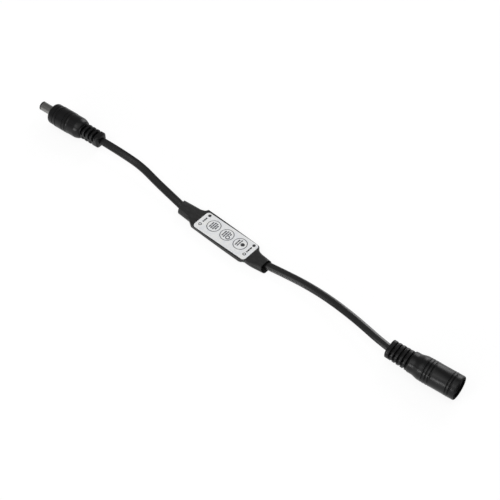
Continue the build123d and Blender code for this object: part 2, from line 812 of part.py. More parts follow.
with BuildPart() as leaf:
    with BuildSketch(socket_upright):
        with BuildLine():
            leaf_end = insert_face - socket_contact_end_gap
            middle = (bore_floor + leaf_end) / 2
            high = contact_slot_top
            low = contact_slot_top - socket_contact_thickness
            bow = socket_contact_bow
            ThreePointArc((bore_floor, high), (middle, high - bow), (leaf_end, high))
            Line((leaf_end, high), (leaf_end, low))
            ThreePointArc((leaf_end, low), (middle, low - bow), (bore_floor, low))
            Line((bore_floor, low), (bore_floor, high))
        make_face()
    extrude(amount=socket_contact_width / 2, both=True)
leaf.part.label = "socket_leaf"
export_step(leaf.part, "parts/socket_leaf.step")
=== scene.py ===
import json
import math

import bmesh
import bpy
from mathutils import Matrix, Vector

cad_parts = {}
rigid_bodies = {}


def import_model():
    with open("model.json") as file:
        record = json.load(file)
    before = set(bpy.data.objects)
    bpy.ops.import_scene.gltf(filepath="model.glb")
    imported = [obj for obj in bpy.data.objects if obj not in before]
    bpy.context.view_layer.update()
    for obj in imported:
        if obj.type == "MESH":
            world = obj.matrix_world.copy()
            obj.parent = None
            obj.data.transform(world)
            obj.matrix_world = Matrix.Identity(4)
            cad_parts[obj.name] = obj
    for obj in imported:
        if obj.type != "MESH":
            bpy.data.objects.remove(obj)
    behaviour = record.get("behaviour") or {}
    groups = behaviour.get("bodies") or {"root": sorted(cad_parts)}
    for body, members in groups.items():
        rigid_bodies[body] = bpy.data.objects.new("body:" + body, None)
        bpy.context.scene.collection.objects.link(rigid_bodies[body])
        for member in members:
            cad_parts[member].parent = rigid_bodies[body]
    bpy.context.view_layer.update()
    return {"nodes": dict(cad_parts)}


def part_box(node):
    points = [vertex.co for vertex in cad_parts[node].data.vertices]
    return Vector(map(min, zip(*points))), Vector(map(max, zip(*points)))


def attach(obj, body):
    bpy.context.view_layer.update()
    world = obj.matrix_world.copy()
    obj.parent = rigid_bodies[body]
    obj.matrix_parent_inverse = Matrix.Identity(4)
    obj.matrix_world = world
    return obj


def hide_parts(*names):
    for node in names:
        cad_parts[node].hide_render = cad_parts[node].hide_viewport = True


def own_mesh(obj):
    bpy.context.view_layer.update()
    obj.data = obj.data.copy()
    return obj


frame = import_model()
nodes = frame["nodes"]
bpy.ops.object.select_all(action="DESELECT")

# Circuit board: glass-epoxy laminate under green solder mask, cut to length and slid into the sleeve.
# It is hidden once the sleeve is shrunk, and shows only through the open mouths.
mm = 0.001


def linear(code):
    """Linear colour of an sRGB hex value."""
    shares = [int(code[i:i + 2], 16) / 255 for i in (1, 3, 5)]
    return [s / 12.92 if s <= 0.04045 else ((s + 0.055) / 1.055) ** 2.4 for s in shares] + [1.0]


def add_node(owner, kind, inputs, **settings):
    """Adds a node to a material or a world, sets its properties, and links or sets each named input."""
    node = owner.node_tree.nodes.new(kind)
    for name, value in settings.items():
        setattr(node, name, value)
    for name, value in inputs.items():
        if isinstance(value, bpy.types.NodeSocket):
            owner.node_tree.links.new(value, node.inputs[name])
        else:
            node.inputs[name].default_value = value
    return node


def grained(name, tones, grain, depth, rough, stretch=(1, 1, 1), attribute=None, **constants):
    """A material whose tone, roughness and height follow a grain, given in metres and drawn out by stretch.
    The grain lies on the piece's own coordinates or on an attribute. Constants go on the shader's sockets."""
    material = bpy.data.materials.new(name)
    material.use_nodes = True
    shader = material.node_tree.nodes["Principled BSDF"]
    for socket, value in constants.items():
        shader.inputs[socket.replace("_", " ")].default_value = value
    if attribute:
        place = add_node(material, "ShaderNodeAttribute", {}, attribute_name=attribute).outputs["Vector"]
    else:
        place = add_node(material, "ShaderNodeTexCoord", {}).outputs["Object"]
    drawn = add_node(material, "ShaderNodeMapping",
                     {"Vector": place, "Scale": [1 / (grain * share) for share in stretch]})
    noise = add_node(material, "ShaderNodeTexNoise",
                     {"Vector": drawn.outputs["Vector"], "Scale": 1.0, "Detail": 3.0})
    tone = add_node(material, "ShaderNodeValToRGB", {"Fac": noise.outputs["Fac"]})
    for element, position, code in zip(tone.color_ramp.elements, (0.3, 0.7), tones):
        element.position = position
        element.color = linear(code)
    sheen = add_node(material, "ShaderNodeMapRange",
                     {"Value": noise.outputs["Fac"], "To Min": rough[0], "To Max": rough[1]})
    bump = add_node(material, "ShaderNodeBump",
                    {"Height": noise.outputs["Fac"], "Strength": 1.0, "Distance": depth})
    links = material.node_tree.links
    links.new(tone.outputs["Color"], shader.inputs["Base Color"])
    links.new(sheen.outputs["Result"], shader.inputs["Roughness"])
    links.new(bump.outputs["Normal"], shader.inputs["Normal"])
    return material


def wear(piece, material):
    """Gives a piece, or a node of the frame, this material alone."""
    piece.data.materials.clear()
    piece.data.materials.append(material)


# green mask over woven glass cloth, about half a millimetre between threads: an uneven soft gloss
solder_mask = grained("green_solder_mask", tones=("#1f5a33", "#2b6e40"), grain=0.5 * mm, depth=0.004 * mm,
                      rough=(0.3, 0.42), IOR=1.55)
wear(nodes["circuit_board"], solder_mask)

# Parts soldered to the board: low push switches above, chips and small passives below. Moulded nylon and
# epoxy bodies, stamped steel covers and domes, tinned leads and solder, bare tinned strands.

# nylon off a dull mould: deep black with little shine
nylon = grained("black_moulded_nylon", tones=("#0a0a0b", "#101011"), grain=0.12 * mm, depth=0.002 * mm,
                rough=(0.5, 0.62), IOR=1.53, Specular_IOR_Level=0.15)

# filled epoxy pressed round the chips: charcoal with a sandy matt face
epoxy = grained("moulded_epoxy", tones=("#161617", "#202022"), grain=0.06 * mm, depth=0.004 * mm,
                rough=(0.5, 0.7), IOR=1.55)

# capacitor bodies, pressed and fired: tan and chalky
ceramic = grained("fired_ceramic", tones=("#9a8464", "#b39b78"), grain=0.1 * mm, depth=0.003 * mm,
                  rough=(0.5, 0.65), IOR=1.7)

# rolled sheet: a soft shine with fine lines along the board
steel = grained("stamped_stainless_steel", tones=("#a9a7a2", "#bdbbb6"), grain=0.08 * mm, depth=0.002 * mm,
                rough=(0.24, 0.36), stretch=(6, 1, 1), Metallic=1.0)

# tin that ran while hot: bright and a little uneven
tin = grained("tinned_copper", tones=("#b4b4b0", "#c9c9c5"), grain=0.15 * mm, depth=0.004 * mm,
              rough=(0.2, 0.34), Metallic=1.0)

# plungers of uncoloured acetal: ivory and waxy
acetal = grained("moulded_acetal", tones=("#cbc5b4", "#d8d2c2"), grain=0.15 * mm, depth=0.002 * mm,
                 rough=(0.35, 0.45), IOR=1.48)

for number in (1, 2, 3):
    wear(nodes[f"switch_base_{number}"], nylon)
    wear(nodes[f"switch_feet_{number}"], tin)
    wear(nodes[f"switch_cover_{number}"], steel)
    wear(nodes[f"switch_plunger_{number}"], acetal)
for name in ("control_chip", "power_transistor", "voltage_regulator", "chip_resistors"):
    wear(nodes[name], epoxy)
wear(nodes["chip_capacitors"], ceramic)
for name in ("control_chip_leads", "power_transistor_leads", "input_conductors", "output_conductors",
             "input_solder", "output_solder"):
    wear(nodes[name], tin)

# the snap dome of each switch, sprung sheet that gives way under its plunger, with a small flat crown
dome_radius = 2.0
dome_rise = 0.2
dome_sheet = 0.1
dome_sides = 48
dome_steps = 6
dome_sloped_share = 0.95
dome_crease = math.radians(35)


def start_piece(name):
    """An empty piece, active and in edit mode."""
    piece = bpy.data.objects.new(name, bpy.data.meshes.new(name))
    bpy.context.collection.objects.link(piece)
    bpy.ops.object.select_all(action="DESELECT")
    bpy.context.view_layer.objects.active = piece
    piece.select_set(True)
    bpy.ops.object.mode_set(mode="EDIT")
    bpy.ops.mesh.select_mode(type="VERT")
    return piece


def apply_modifier(piece, kind, **settings):
    """Adds a modifier to the active piece, sets it, and applies it."""
    modifier = piece.modifiers.new(kind.lower(), kind)
    for name, value in settings.items():
        setattr(modifier, name, value)
    bpy.ops.object.modifier_apply(modifier=modifier.name)


dome_low, dome_high = (Vector(corner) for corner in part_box("snap_dome_1"))
dome_foot = Vector(((dome_low.x + dome_high.x) / 2, (dome_low.y + dome_high.y) / 2, dome_low.z))
first_dome = start_piece("sprung_dome_1")
bpy.ops.mesh.primitive_circle_add(vertices=dome_sides, radius=dome_radius * mm, fill_type="NGON",
                                  location=dome_foot)
for step in range(dome_steps):
    outer = 1 - step / dome_steps * dome_sloped_share
    inner = 1 - (step + 1) / dome_steps * dome_sloped_share
    bpy.ops.mesh.inset(thickness=dome_radius * (outer - inner) * mm)
    bpy.ops.transform.translate(value=(0, 0, dome_rise * (outer ** 2 - inner ** 2) * mm))
bpy.ops.object.mode_set(mode="OBJECT")
apply_modifier(first_dome, "SOLIDIFY", thickness=dome_sheet * mm, offset=1)
bpy.ops.object.shade_smooth_by_angle(angle=dome_crease)
wear(first_dome, steel)
domes = [first_dome]
for number in (2, 3):
    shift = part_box(f"snap_dome_{number}")[0][0] - dome_low.x
    dome = first_dome.copy()
    dome.name = f"sprung_dome_{number}"
    dome.data = first_dome.data.copy()
    dome.data.transform(Matrix.Translation((shift, 0, 0)))
    bpy.context.collection.objects.link(dome)
    domes.append(dome)
for number, dome in zip((1, 2, 3), domes):
    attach(dome, "controller")
    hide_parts(f"snap_dome_{number}")
    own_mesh(dome)

# Cords: flat twin flex, two cores side by side in one oval jacket of black vinyl, drawn through a die, with a
# shallow groove between them. The board's solder and the sleeve hold one end, a moulding the other.
jacket_half_width = 2.3 * mm
jacket_half_height = 1.15 * mm
jacket_sides = 64
groove_reach = 0.5 * mm
groove_sink = 0.06 * mm


def jacket_section():
    """Outline of the twin jacket, across and up: a flat oval with a groove along the middle of both faces."""
    outline = []
    for side in range(jacket_sides):
        angle = 2 * math.pi * side / jacket_sides
        across = jacket_half_width * math.cos(angle)
        valley = max(0.0, 1 - (across / groove_reach) ** 2) ** 2
        outline.append((across, (jacket_half_height - groove_sink * valley) * math.sin(angle)))
    return outline


def cord_line(name, route):
    """Points along the smooth curve that a route in millimetres steers."""
    curve = bpy.data.curves.new(name, "CURVE")
    curve.dimensions = "3D"
    curve.resolution_u = 12
    spline = curve.splines.new("NURBS")
    spline.points.add(len(route) - 1)
    for point, place in zip(spline.points, route):
        point.co = (*[value * mm for value in place], 1.0)
    spline.order_u = 3
    spline.use_endpoint_u = True
    holder = bpy.data.objects.new(name + "_line", curve)
    bpy.context.collection.objects.link(holder)
    bpy.context.view_layer.update()
    drawn = bpy.data.meshes.new_from_object(holder.evaluated_get(bpy.context.evaluated_depsgraph_get()))
    line = [vertex.co.copy() for vertex in drawn.vertices]
    bpy.data.objects.remove(holder)
    bpy.data.meshes.remove(drawn)
    return line


def roll_at(share, rolls):
    """Roll of a cord part of the way along, eased between pairs of a share of the way and degrees."""
    for (start, first), (end, second) in zip(rolls, rolls[1:]):
        if start <= share <= end:
            step = (share - start) / (end - start)
            return first + (second - first) * step * step * (3 - 2 * step)
    return rolls[-1][1]


def lay_cord(name, route, rolls):
    """A twin cord along a route, turned about its own line by its rolls, and the line that it follows."""
    line = cord_line(name, route)
    travelled = [0.0]
    for before, after in zip(line, line[1:]):
        travelled.append(travelled[-1] + (after - before).length)
    outline = jacket_section()
    corners, faces, places = [], [], []
    for index, place in enumerate(line):
        ahead = line[min(index + 1, len(line) - 1)] - line[max(index - 1, 0)]
        ahead.normalize()
        level = Vector((0, 0, 1)).cross(ahead).normalized()
        roll = math.radians(roll_at(travelled[index] / travelled[-1], rolls))
        across = Matrix.Rotation(roll, 3, ahead) @ level
        up = ahead.cross(across)
        for wide, high in outline:
            corners.append(place + across * wide + up * high)
            places += [wide, high, travelled[index]]
    last_ring = (len(line) - 1) * jacket_sides
    for ring in range(0, last_ring, jacket_sides):
        for side in range(jacket_sides):
            after = (side + 1) % jacket_sides
            faces.append((ring + side, ring + after, ring + jacket_sides + after, ring + jacket_sides + side))
    faces.append(tuple(reversed(range(jacket_sides))))
    faces.append(tuple(last_ring + side for side in range(jacket_sides)))
    mesh = bpy.data.meshes.new(name)
    mesh.from_pydata(corners, [], faces)
    mesh.attributes.new("jacket_place", "FLOAT_VECTOR", "POINT").data.foreach_set("vector", places)
    mesh.validate()
    mesh.shade_smooth()
    piece = bpy.data.objects.new(name, mesh)
    bpy.context.collection.objects.link(piece)
    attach(piece, "controller")
    return piece, line


# both cords turn a flat side up towards the near side, and the output cord comes level on its way out
input_flex, input_line = lay_cord("input_flex", [
    (-20.5, 0, 1.9), (-27.5, 0, 1.9), (-38, 1.15, 3.2), (-54, 3.1, 4.1), (-70, 5.75, 5.2), (-84, 5.1, 6.2),
    (-93.2, 4.62, 6.4), (-102.096, 4.139, 6.45),
], [(0, -10), (0.25, -32), (0.8, -34), (1, -20)])
output_flex, output_line = lay_cord("output_flex", [
    (20.5, 0, 1.9), (27.5, 0, 1.9), (38, 1.35, 2.6), (54, 3.3, 3.3), (70, 3.35, 4.3), (86, 1.7, 5.5),
    (98, -0.25, 6.28), (107, -1.75, 6.6), (115.989, -2.423, 6.7),
], [(0, 15), (0.25, 14), (0.5, 11), (0.8, 4), (1, 2)])
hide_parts("input_cord")
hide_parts("output_cord")

# soft vinyl drawn through a die: satin, with faint streaks along the jacket a third of a millimetre wide
flex_vinyl = grained("extruded_vinyl", tones=("#131313", "#181818"), grain=0.35 * mm, depth=0.002 * mm,
                     rough=(0.22, 0.28), stretch=(1, 1, 200), attribute="jacket_place", IOR=1.53,
                     Specular_IOR_Level=0.45)
wear(input_flex, flex_vinyl)
wear(output_flex, flex_vinyl)

# Sleeve: black shrink tube, slid over the finished board and heated until it grips the board and both cords.
# It keeps the board's square box in the middle and draws in to an open oval mouth round each cord.
sleeve_wall = 0.35 * mm
sleeve_crease = math.radians(35)
corner_steps = 7
tail_shares = (0, 0.25, 0.5, 0.75, 0.97, 1)


def pick(piece, wanted):
    """Selects the vertices of a piece in edit mode that pass a test, and the edges and faces between them."""
    shape = bmesh.from_edit_mesh(piece.data)
    chosen = [vertex for vertex in shape.verts if wanted(vertex)]
    bpy.ops.mesh.select_all(action="DESELECT")
    for vertex in chosen:
        vertex.select_set(True)
    shape.select_flush_mode()
    bmesh.update_edit_mesh(piece.data)


def oblong_loop(piece, x, shift, low, width, height, top, bottom, skew=0.0, lean=0.0):
    """Adds a rounded oblong edge loop in millimetres, upright across X but for its skew and lean in degrees.
    Top and bottom are the radii of its upper and lower corners."""
    middle = (x * mm, shift * mm, (low + height / 2) * mm)
    turn = (math.pi / 2, 0, math.pi / 2 + math.radians(skew))
    bpy.ops.mesh.select_all(action="DESELECT")
    bpy.ops.mesh.primitive_plane_add(size=1, location=middle, rotation=turn)
    bpy.ops.transform.resize(value=(width * mm, width * mm, height * mm), center_override=middle)
    pick(piece, lambda vertex: vertex.select and vertex.co.z > middle[2])
    bpy.ops.mesh.bevel(offset=top * mm, segments=corner_steps, affect="VERTICES")
    bpy.ops.mesh.select_linked()
    pick(piece, lambda vertex: vertex.select and vertex.co.z < middle[2])
    bpy.ops.mesh.bevel(offset=bottom * mm, segments=corner_steps, affect="VERTICES")
    bpy.ops.mesh.select_linked()
    bpy.ops.transform.rotate(value=math.radians(lean), orient_axis="Y", center_override=middle)
    bpy.ops.mesh.delete(type="ONLY_FACE")


def between(first, second, share):
    """A section of the sleeve part of the way from one section to another."""
    return [a + (b - a) * share for a, b in zip(first, second)]


# x, shift to the side, lowest point, width, height, top and bottom corner, skew and lean. The box lies a
# little askew under its label, and the far corners of its ends stand out before the tube draws in.
input_end = [
    (-8.0, 0.36, 0, 14.75, 3.6, 0.32, 1.9, 0, 0),
    (-19.6, 0.69, 0, 14.6, 3.6, 0.34, 1.9, 0, 0),
    (-20.0, 0.68, 0, 14.5, 3.58, 0.4, 1.9, 0, 0),
    (-20.25, 0.62, 0, 14.15, 3.5, 0.5, 1.85, 0, 0),
    (-20.5, 0.5, 0, 13.6, 3.44, 0.65, 1.8, 0, 0),
    (-20.8, 0.44, 0, 13.0, 3.42, 0.8, 1.7, 0, 0),
    (-21.4, 0.4, 0.03, 12.2, 3.45, 0.95, 1.6, 0, 0),
    (-22.2, 0.45, 0.06, 11.35, 3.6, 1.2, 1.6, 0, 0),
]
input_neck = (-23.4, 0.62, 0.1, 10.0, 3.9, 1.64, 1.64, 0, 0)
input_mouth = (-33.1, -0.06, 0.1, 8.65, 5.2, 2.47, 2.47, 15, 0)
output_end = [
    (4.0, 0.04, 0, 14.75, 3.6, 0.32, 1.9, 0, 0),
    (15.6, -0.22, 0, 14.55, 3.6, 0.34, 1.9, 0, 0),
    (16.6, -0.12, 0, 14.2, 3.6, 0.36, 2.0, 0, 0),
    (17.3, 0.1, 0, 13.65, 3.6, 0.38, 2.2, 0, 0),
    (18.0, 0.3, 0, 13.1, 3.6, 0.42, 2.3, 0, 0),
    (18.6, 0.28, 0.03, 12.65, 3.55, 0.52, 2.2, 0, 0),
    (18.95, 0.15, 0.06, 12.2, 3.46, 0.65, 2.0, 0, 0),
    (19.3, -0.1, 0.1, 11.6, 3.4, 0.8, 1.7, 0, 0),
    (19.9, -0.36, 0.1, 11.05, 3.4, 0.9, 1.55, 0, 0),
    (20.7, -0.66, 0.1, 10.4, 3.5, 1.0, 1.5, 0, 0),
    (22.0, -0.92, 0.1, 9.9, 3.7, 1.3, 1.55, 0, 0),
]
output_neck = (23.4, -1.03, 0.1, 9.64, 3.9, 1.64, 1.64, 0, 0)
output_mouth = (30.3, -1.05, 0.1, 8.2, 4.9, 2.33, 2.33, 0, 30)
sleeve = start_piece("shrunk_sleeve")
for end, neck, mouth in ((input_end, input_neck, input_mouth), (output_end, output_neck, output_mouth)):
    for section in end + [between(neck, mouth, share) for share in tail_shares]:
        oblong_loop(sleeve, *section)
bpy.ops.mesh.select_all(action="SELECT")
bpy.ops.mesh.bridge_edge_loops()
bpy.ops.mesh.select_all(action="SELECT")
bpy.ops.mesh.normals_make_consistent(inside=False)
bpy.ops.object.mode_set(mode="OBJECT")
apply_modifier(sleeve, "SOLIDIFY", thickness=sleeve_wall, offset=-1, use_even_offset=True)

# round windows through which the keys reach the switches
key_places = (-9.5, 0.15, 9.8)
key_row = 0.8
key_radius = 4.05
window_gap = 0.3
window_depth = 1.4
window_level = 3.6
window_sides = 64
window_cutter = start_piece("window_cutter")
for x in key_places:
    bpy.ops.mesh.primitive_cylinder_add(vertices=window_sides, radius=(key_radius + window_gap) * mm,
                                        depth=window_depth * mm,
                                        location=(x * mm, key_row * mm, window_level * mm))
bpy.ops.object.mode_set(mode="OBJECT")


def cut_away(piece, cutter):
    """Cuts the form of a cutter out of a piece, and removes the cutter."""
    bpy.ops.object.select_all(action="DESELECT")
    bpy.context.view_layer.objects.active = piece
    piece.select_set(True)
    apply_modifier(piece, "BOOLEAN", operation="DIFFERENCE", object=cutter, solver="EXACT")
    bpy.data.objects.remove(cutter)


cut_away(sleeve, window_cutter)
bpy.ops.object.shade_smooth_by_angle(angle=sleeve_crease)
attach(sleeve, "controller")
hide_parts("heat_shrink_sleeve")

# shrunk polyolefin: satin black, faint draw lines along the tube about a millimetre apart
shrink = grained("shrunk_polyolefin", tones=("#222222", "#2c2c2c"), grain=0.9 * mm, depth=0.008 * mm,
                 rough=(0.32, 0.44), stretch=(5, 1, 1), IOR=1.5, Specular_IOR_Level=0.25)
wear(sleeve, shrink)

# Label: white polyester film with printed marks, die-cut and stuck on the flat of the sleeve. The film flexes
# over the three switches, which show as low round domes.

# smooth coated film: white, satin, hardly mottled
film = grained("white_polyester_film", tones=("#e6e8ec", "#f1f1ef"), grain=2.5 * mm, depth=0.004 * mm,
               rough=(0.34, 0.42), IOR=1.55)
wear(nodes["legend_label"], film)
for number in (1, 2, 3):
    wear(nodes[f"key_{number}"], film)

# screen ink, a matt skin a hundredth of a millimetre thick: one dark, one thinned to grey
dark_ink = grained("dark_screen_ink", tones=("#28282b", "#323236"), grain=0.2 * mm, depth=0.001 * mm,
                   rough=(0.5, 0.6), IOR=1.5)
grey_ink = grained("grey_screen_ink", tones=("#4c4d51", "#595a5e"), grain=0.2 * mm, depth=0.001 * mm,
                   rough=(0.5, 0.6), IOR=1.5)
inks = (dark_ink, grey_ink)
ink_lift = 0.012 * mm
ink_thickness = 0.012 * mm
screen_height = 5 * mm


def ink(piece, shade, kind, x, y, size, line=0):
    """Adds one flat mark in millimetres, above the label: a ring or a dot of a radius, or a bar of a length
    across the label. Line is the width of a ring's line or of a bar."""
    shape = bmesh.from_edit_mesh(piece.data)
    before = len(shape.faces)
    place = (x * mm, y * mm, screen_height)
    bpy.ops.mesh.select_all(action="DESELECT")
    if kind == "bar":
        bpy.ops.mesh.primitive_plane_add(size=1, location=place)
        bpy.ops.transform.resize(value=(line * mm, size * mm, 1), center_override=place)
        bpy.ops.mesh.subdivide(number_cuts=3)
    elif kind == "dot":
        bpy.ops.mesh.primitive_circle_add(vertices=40, radius=size * mm, fill_type="TRIFAN", location=place)
    else:
        bpy.ops.mesh.primitive_circle_add(vertices=72, radius=size * mm, fill_type="NGON", location=place)
        bpy.ops.mesh.inset(thickness=line * mm)
        bpy.ops.mesh.delete(type="FACE")
    shape = bmesh.from_edit_mesh(piece.data)
    shape.faces.ensure_lookup_table()
    for face in shape.faces[before:]:
        face.material_index = inks.index(shade)
    bmesh.update_edit_mesh(piece.data)


def finish_print(piece, carrier, body):
    """Lays the marks of a print on the node that carries them and gives them their thickness."""
    bpy.ops.object.mode_set(mode="OBJECT")
    apply_modifier(piece, "SHRINKWRAP", target=carrier, wrap_method="PROJECT", use_project_z=True,
                   use_negative_direction=True, use_positive_direction=False, offset=ink_lift)
    apply_modifier(piece, "SOLIDIFY", thickness=ink_thickness, offset=-1)
    for shade in inks:
        piece.data.materials.append(shade)
    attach(piece, body)


# at each end of the label: an open ring, a short row of bars and a filled dot, with the bars as pairs of a
# place and a length across the label
legend_bar_width = 0.95
legend_rows = (
    (-16.3, ((-0.35, 0.8), (0.85, 1.2), (2.15, 1.0))),
    (16.2, ((-0.9, 0.8), (0.5, 1.5), (2.3, 1.6))),
)
legend_print = start_piece("legend_print")
for x, bars in legend_rows:
    ink(legend_print, dark_ink, "ring", x, y=-3.05, size=1.0, line=0.48)
    ink(legend_print, dark_ink, "dot", x + 0.05, y=4.85, size=0.95)
    for y, length in bars:
        ink(legend_print, dark_ink, "bar", x, y, length, legend_bar_width)
finish_print(legend_print, nodes["legend_label"], "controller")

# on each key: a ring just inside its edge and rows of bars, and on two keys a bolder ring or dot beside them
key_ring_inset = 0.03
key_ring_line = 0.34
key_bar_width = 0.8
key_rows = (
    ((-11.1, ((-0.4, 1.9), (1.75, 2.0))), (-9.85, ((-0.75, 1.6), (1.05, 1.6), (2.75, 1.3))),
     (-8.6, ((-0.9, 1.2), (0.75, 1.7), (2.55, 1.5))), (-7.45, ((0.1, 1.4), (1.7, 1.3)))),
    ((-1.75, ((-0.4, 1.9), (1.7, 1.9))), (-0.5, ((-0.85, 1.5), (0.95, 1.7), (2.65, 1.3))),
     (0.75, ((1.3, 1.2), (2.75, 1.1))), (1.9, ((2.1, 1.3),))),
    ((8.05, ((-0.55, 2.0), (1.75, 2.1))), (9.35, ((-0.6, 1.5), (1.1, 1.5), (2.8, 1.3)))),
)
key_bodies = ("first_key", "second_key", "third_key")
for number, body, middle, rows in zip((1, 2, 3), key_bodies, key_places, key_rows):
    key_print = start_piece(f"key_{number}_print")
    ink(key_print, grey_ink, "ring", middle, key_row, key_radius - key_ring_inset, key_ring_line)
    for x, bars in rows:
        for y, length in bars:
            ink(key_print, grey_ink, "bar", x, y, length, key_bar_width)
    if number == 2:
        ink(key_print, dark_ink, "ring", x=1.75, y=-0.45, size=1.3, line=0.52)
    if number == 3:
        ink(key_print, dark_ink, "dot", x=11.4, y=1.05, size=1.2)
    finish_print(key_print, nodes[f"key_{number}"], body)

# Plug: soft black vinyl moulded in one shot round the end of the cord and round a plated barrel. A slotted
# strain relief, a coned shoulder, and a grip with fine rings. Its places run along X from the tail.
plug_tail = (-99.7, 4.28, 6.45)
plug_axis = (-0.997785, -0.066522)
shoulder_radius = 6.29
grip_radius = 6.45
front_radius = 6.25
front_round = 1.4
barrel_seat_radius = 2.42
turned_sides = 96
ring_half_width = 0.4
ring_depth = 0.4
ring_floor_half = 0.06
moulding_crease = math.radians(32)


def ringed(start, end, radius, places):
    """Stations of a straight round run from start to end with a V-shaped ring cut in at each place."""
    stations = [(start, radius)]
    for place in places:
        stations += [(place - ring_half_width, radius), (place - ring_floor_half, radius - ring_depth),
                     (place + ring_floor_half, radius - ring_depth), (place + ring_half_width, radius)]
    return stations + [(end, radius)]


def arc_stations(x, radius, rounding, steps=6):
    """Stations of a quarter round that starts along the run at x and ends facing forward."""
    angles = [math.pi / 2 * step / steps for step in range(1, steps + 1)]
    return [(x + rounding * math.sin(a), radius - rounding + rounding * math.cos(a)) for a in angles]


def turn_body(name, stations):
    """A round body about X in millimetres: a disc at the first station, extruded and scaled to the others."""
    piece = start_piece(name)
    x, radius = stations[0]
    bpy.ops.mesh.primitive_circle_add(vertices=turned_sides, radius=radius * mm, fill_type="NGON",
                                      location=(x * mm, 0, 0), rotation=(0, math.pi / 2, 0))
    for next_x, next_radius in stations[1:]:
        bpy.ops.mesh.extrude_region_move(TRANSFORM_OT_translate={"value": ((next_x - x) * mm, 0, 0)})
        ratio = next_radius / radius
        bpy.ops.transform.resize(value=(1, ratio, ratio), center_override=(next_x * mm, 0, 0))
        x, radius = next_x, next_radius
    bpy.ops.mesh.select_all(action="SELECT")
    bpy.ops.mesh.normals_make_consistent(inside=False)
    bpy.ops.object.mode_set(mode="OBJECT")
    return piece


# the strain reliefs: how the tail end rounds off, per millimetre of rounding, and the core left by the slots
relief_rounding = ((0, 1.5), (0.15, 0.95), (0.4, 0.4), (0.75, 0.08), (1.05, 0))
widest_corner_share = 0.46
core_half_width = 2.9
core_half_height = 1.75
slot_reach = 7.0
rib_round = 0.2
rib_crease = math.radians(50)
hair = 0.01 * mm


def relief_bar(name, span, tail, neck, rounding):
    """The bar of a strain relief along X before it is slotted, from its rounded tail to the neck."""
    piece = start_piece(name)
    width, bottom, top, corner = tail
    stations = [(span[0] + x * rounding, width - 2 * drop * rounding, bottom + drop * rounding,
                 top - drop * rounding, corner) for x, drop in relief_rounding]
    for x, width, bottom, top, corner in stations + [(span[1], *neck)]:
        radius = min(corner, widest_corner_share * width, widest_corner_share * (top - bottom))
        oblong_loop(piece, x, 0, bottom, width, top - bottom, radius, radius)
    bpy.ops.mesh.select_all(action="SELECT")
    bpy.ops.mesh.bridge_edge_loops()
    for x in span:
        pick(piece, lambda vertex: abs(vertex.co.x - x * mm) < hair)
        bpy.ops.mesh.edge_face_add()
    bpy.ops.mesh.select_all(action="SELECT")
    bpy.ops.mesh.normals_make_consistent(inside=False)
    bpy.ops.object.mode_set(mode="OBJECT")
    return piece


def slot_cutter(first, pitch, slot_width, count, spines):
    """What is cut out of a strain relief: slots down to its core from the top, and between them from below.
    At its two sides they go on to the heights that spines gives."""
    cutter = start_piece("slot_cutter")
    middle = [value * mm for value in (first + slot_width / 2, 0, (core_half_height + slot_reach) / 2)]
    size = [value * mm for value in (slot_width, 2 * slot_reach, slot_reach - core_half_height)]
    bpy.ops.mesh.primitive_cube_add(size=1, location=middle)
    bpy.ops.transform.resize(value=size, center_override=middle)
    for side in (-1, 1):
        bpy.ops.mesh.select_all(action="SELECT")
        bpy.ops.mesh.bisect(plane_co=(0, side * core_half_width * mm, 0), plane_no=(0, 1, 0))
    for side, spine in zip((-1, 1), spines):
        pick(cutter, lambda vertex: vertex.co.z < core_half_height * mm + hair
             and side * vertex.co.y > core_half_width * mm - hair)
        bpy.ops.mesh.extrude_region_move(
            TRANSFORM_OT_translate={"value": (0, 0, (spine - core_half_height) * mm)})
    bpy.ops.mesh.select_all(action="SELECT")
    bpy.ops.mesh.duplicate_move(TRANSFORM_OT_translate={"value": (pitch / 2 * mm, 0, 0)})
    bpy.ops.transform.resize(value=(1, 1, -1), center_override=(0, 0, 0))
    bpy.ops.mesh.select_all(action="SELECT")
    for _ in range(count - 1):
        bpy.ops.mesh.duplicate_move(TRANSFORM_OT_translate={"value": (pitch * mm, 0, 0)})
    last_below = (first + (count - 1) * pitch + pitch / 2) * mm
    pick(cutter, lambda vertex: vertex.co.x > last_below - hair)
    bpy.ops.mesh.delete(type="VERT")
    bpy.ops.mesh.select_all(action="SELECT")
    bpy.ops.mesh.normals_make_consistent(inside=False)
    bpy.ops.object.mode_set(mode="OBJECT")
    return cutter


def slotted_relief(name, span, tail, neck, rounding, slots, spines):
    """A strain relief in millimetres, from X to X of its span. Tail and neck are sections of a width, bottom,
    top and corner, and slots are the first one's place, the pitch, the width and the count."""
    piece = relief_bar(name, span, tail, neck, rounding)
    cut_away(piece, slot_cutter(*slots, spines))
    apply_modifier(piece, "BEVEL", width=rib_round * mm, segments=2, limit_method="ANGLE",
                   angle_limit=rib_crease)
    return piece


def mould(name, relief, body, tail, axis):
    """Joins a strain relief and a body into one moulding and puts it where its tail and its axis are."""
    bpy.ops.object.select_all(action="DESELECT")
    bpy.context.view_layer.objects.active = body
    body.select_set(True)
    apply_modifier(body, "BOOLEAN", operation="UNION", object=relief, solver="EXACT")
    bpy.data.objects.remove(relief)
    body.name = name
    body.location = [value * mm for value in tail]
    body.rotation_euler = (0, 0, math.atan2(axis[1], axis[0]))
    bpy.ops.object.transform_apply(location=True, rotation=True, scale=True)
    bpy.ops.object.shade_smooth_by_angle(angle=moulding_crease)
    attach(body, "controller")
    return body


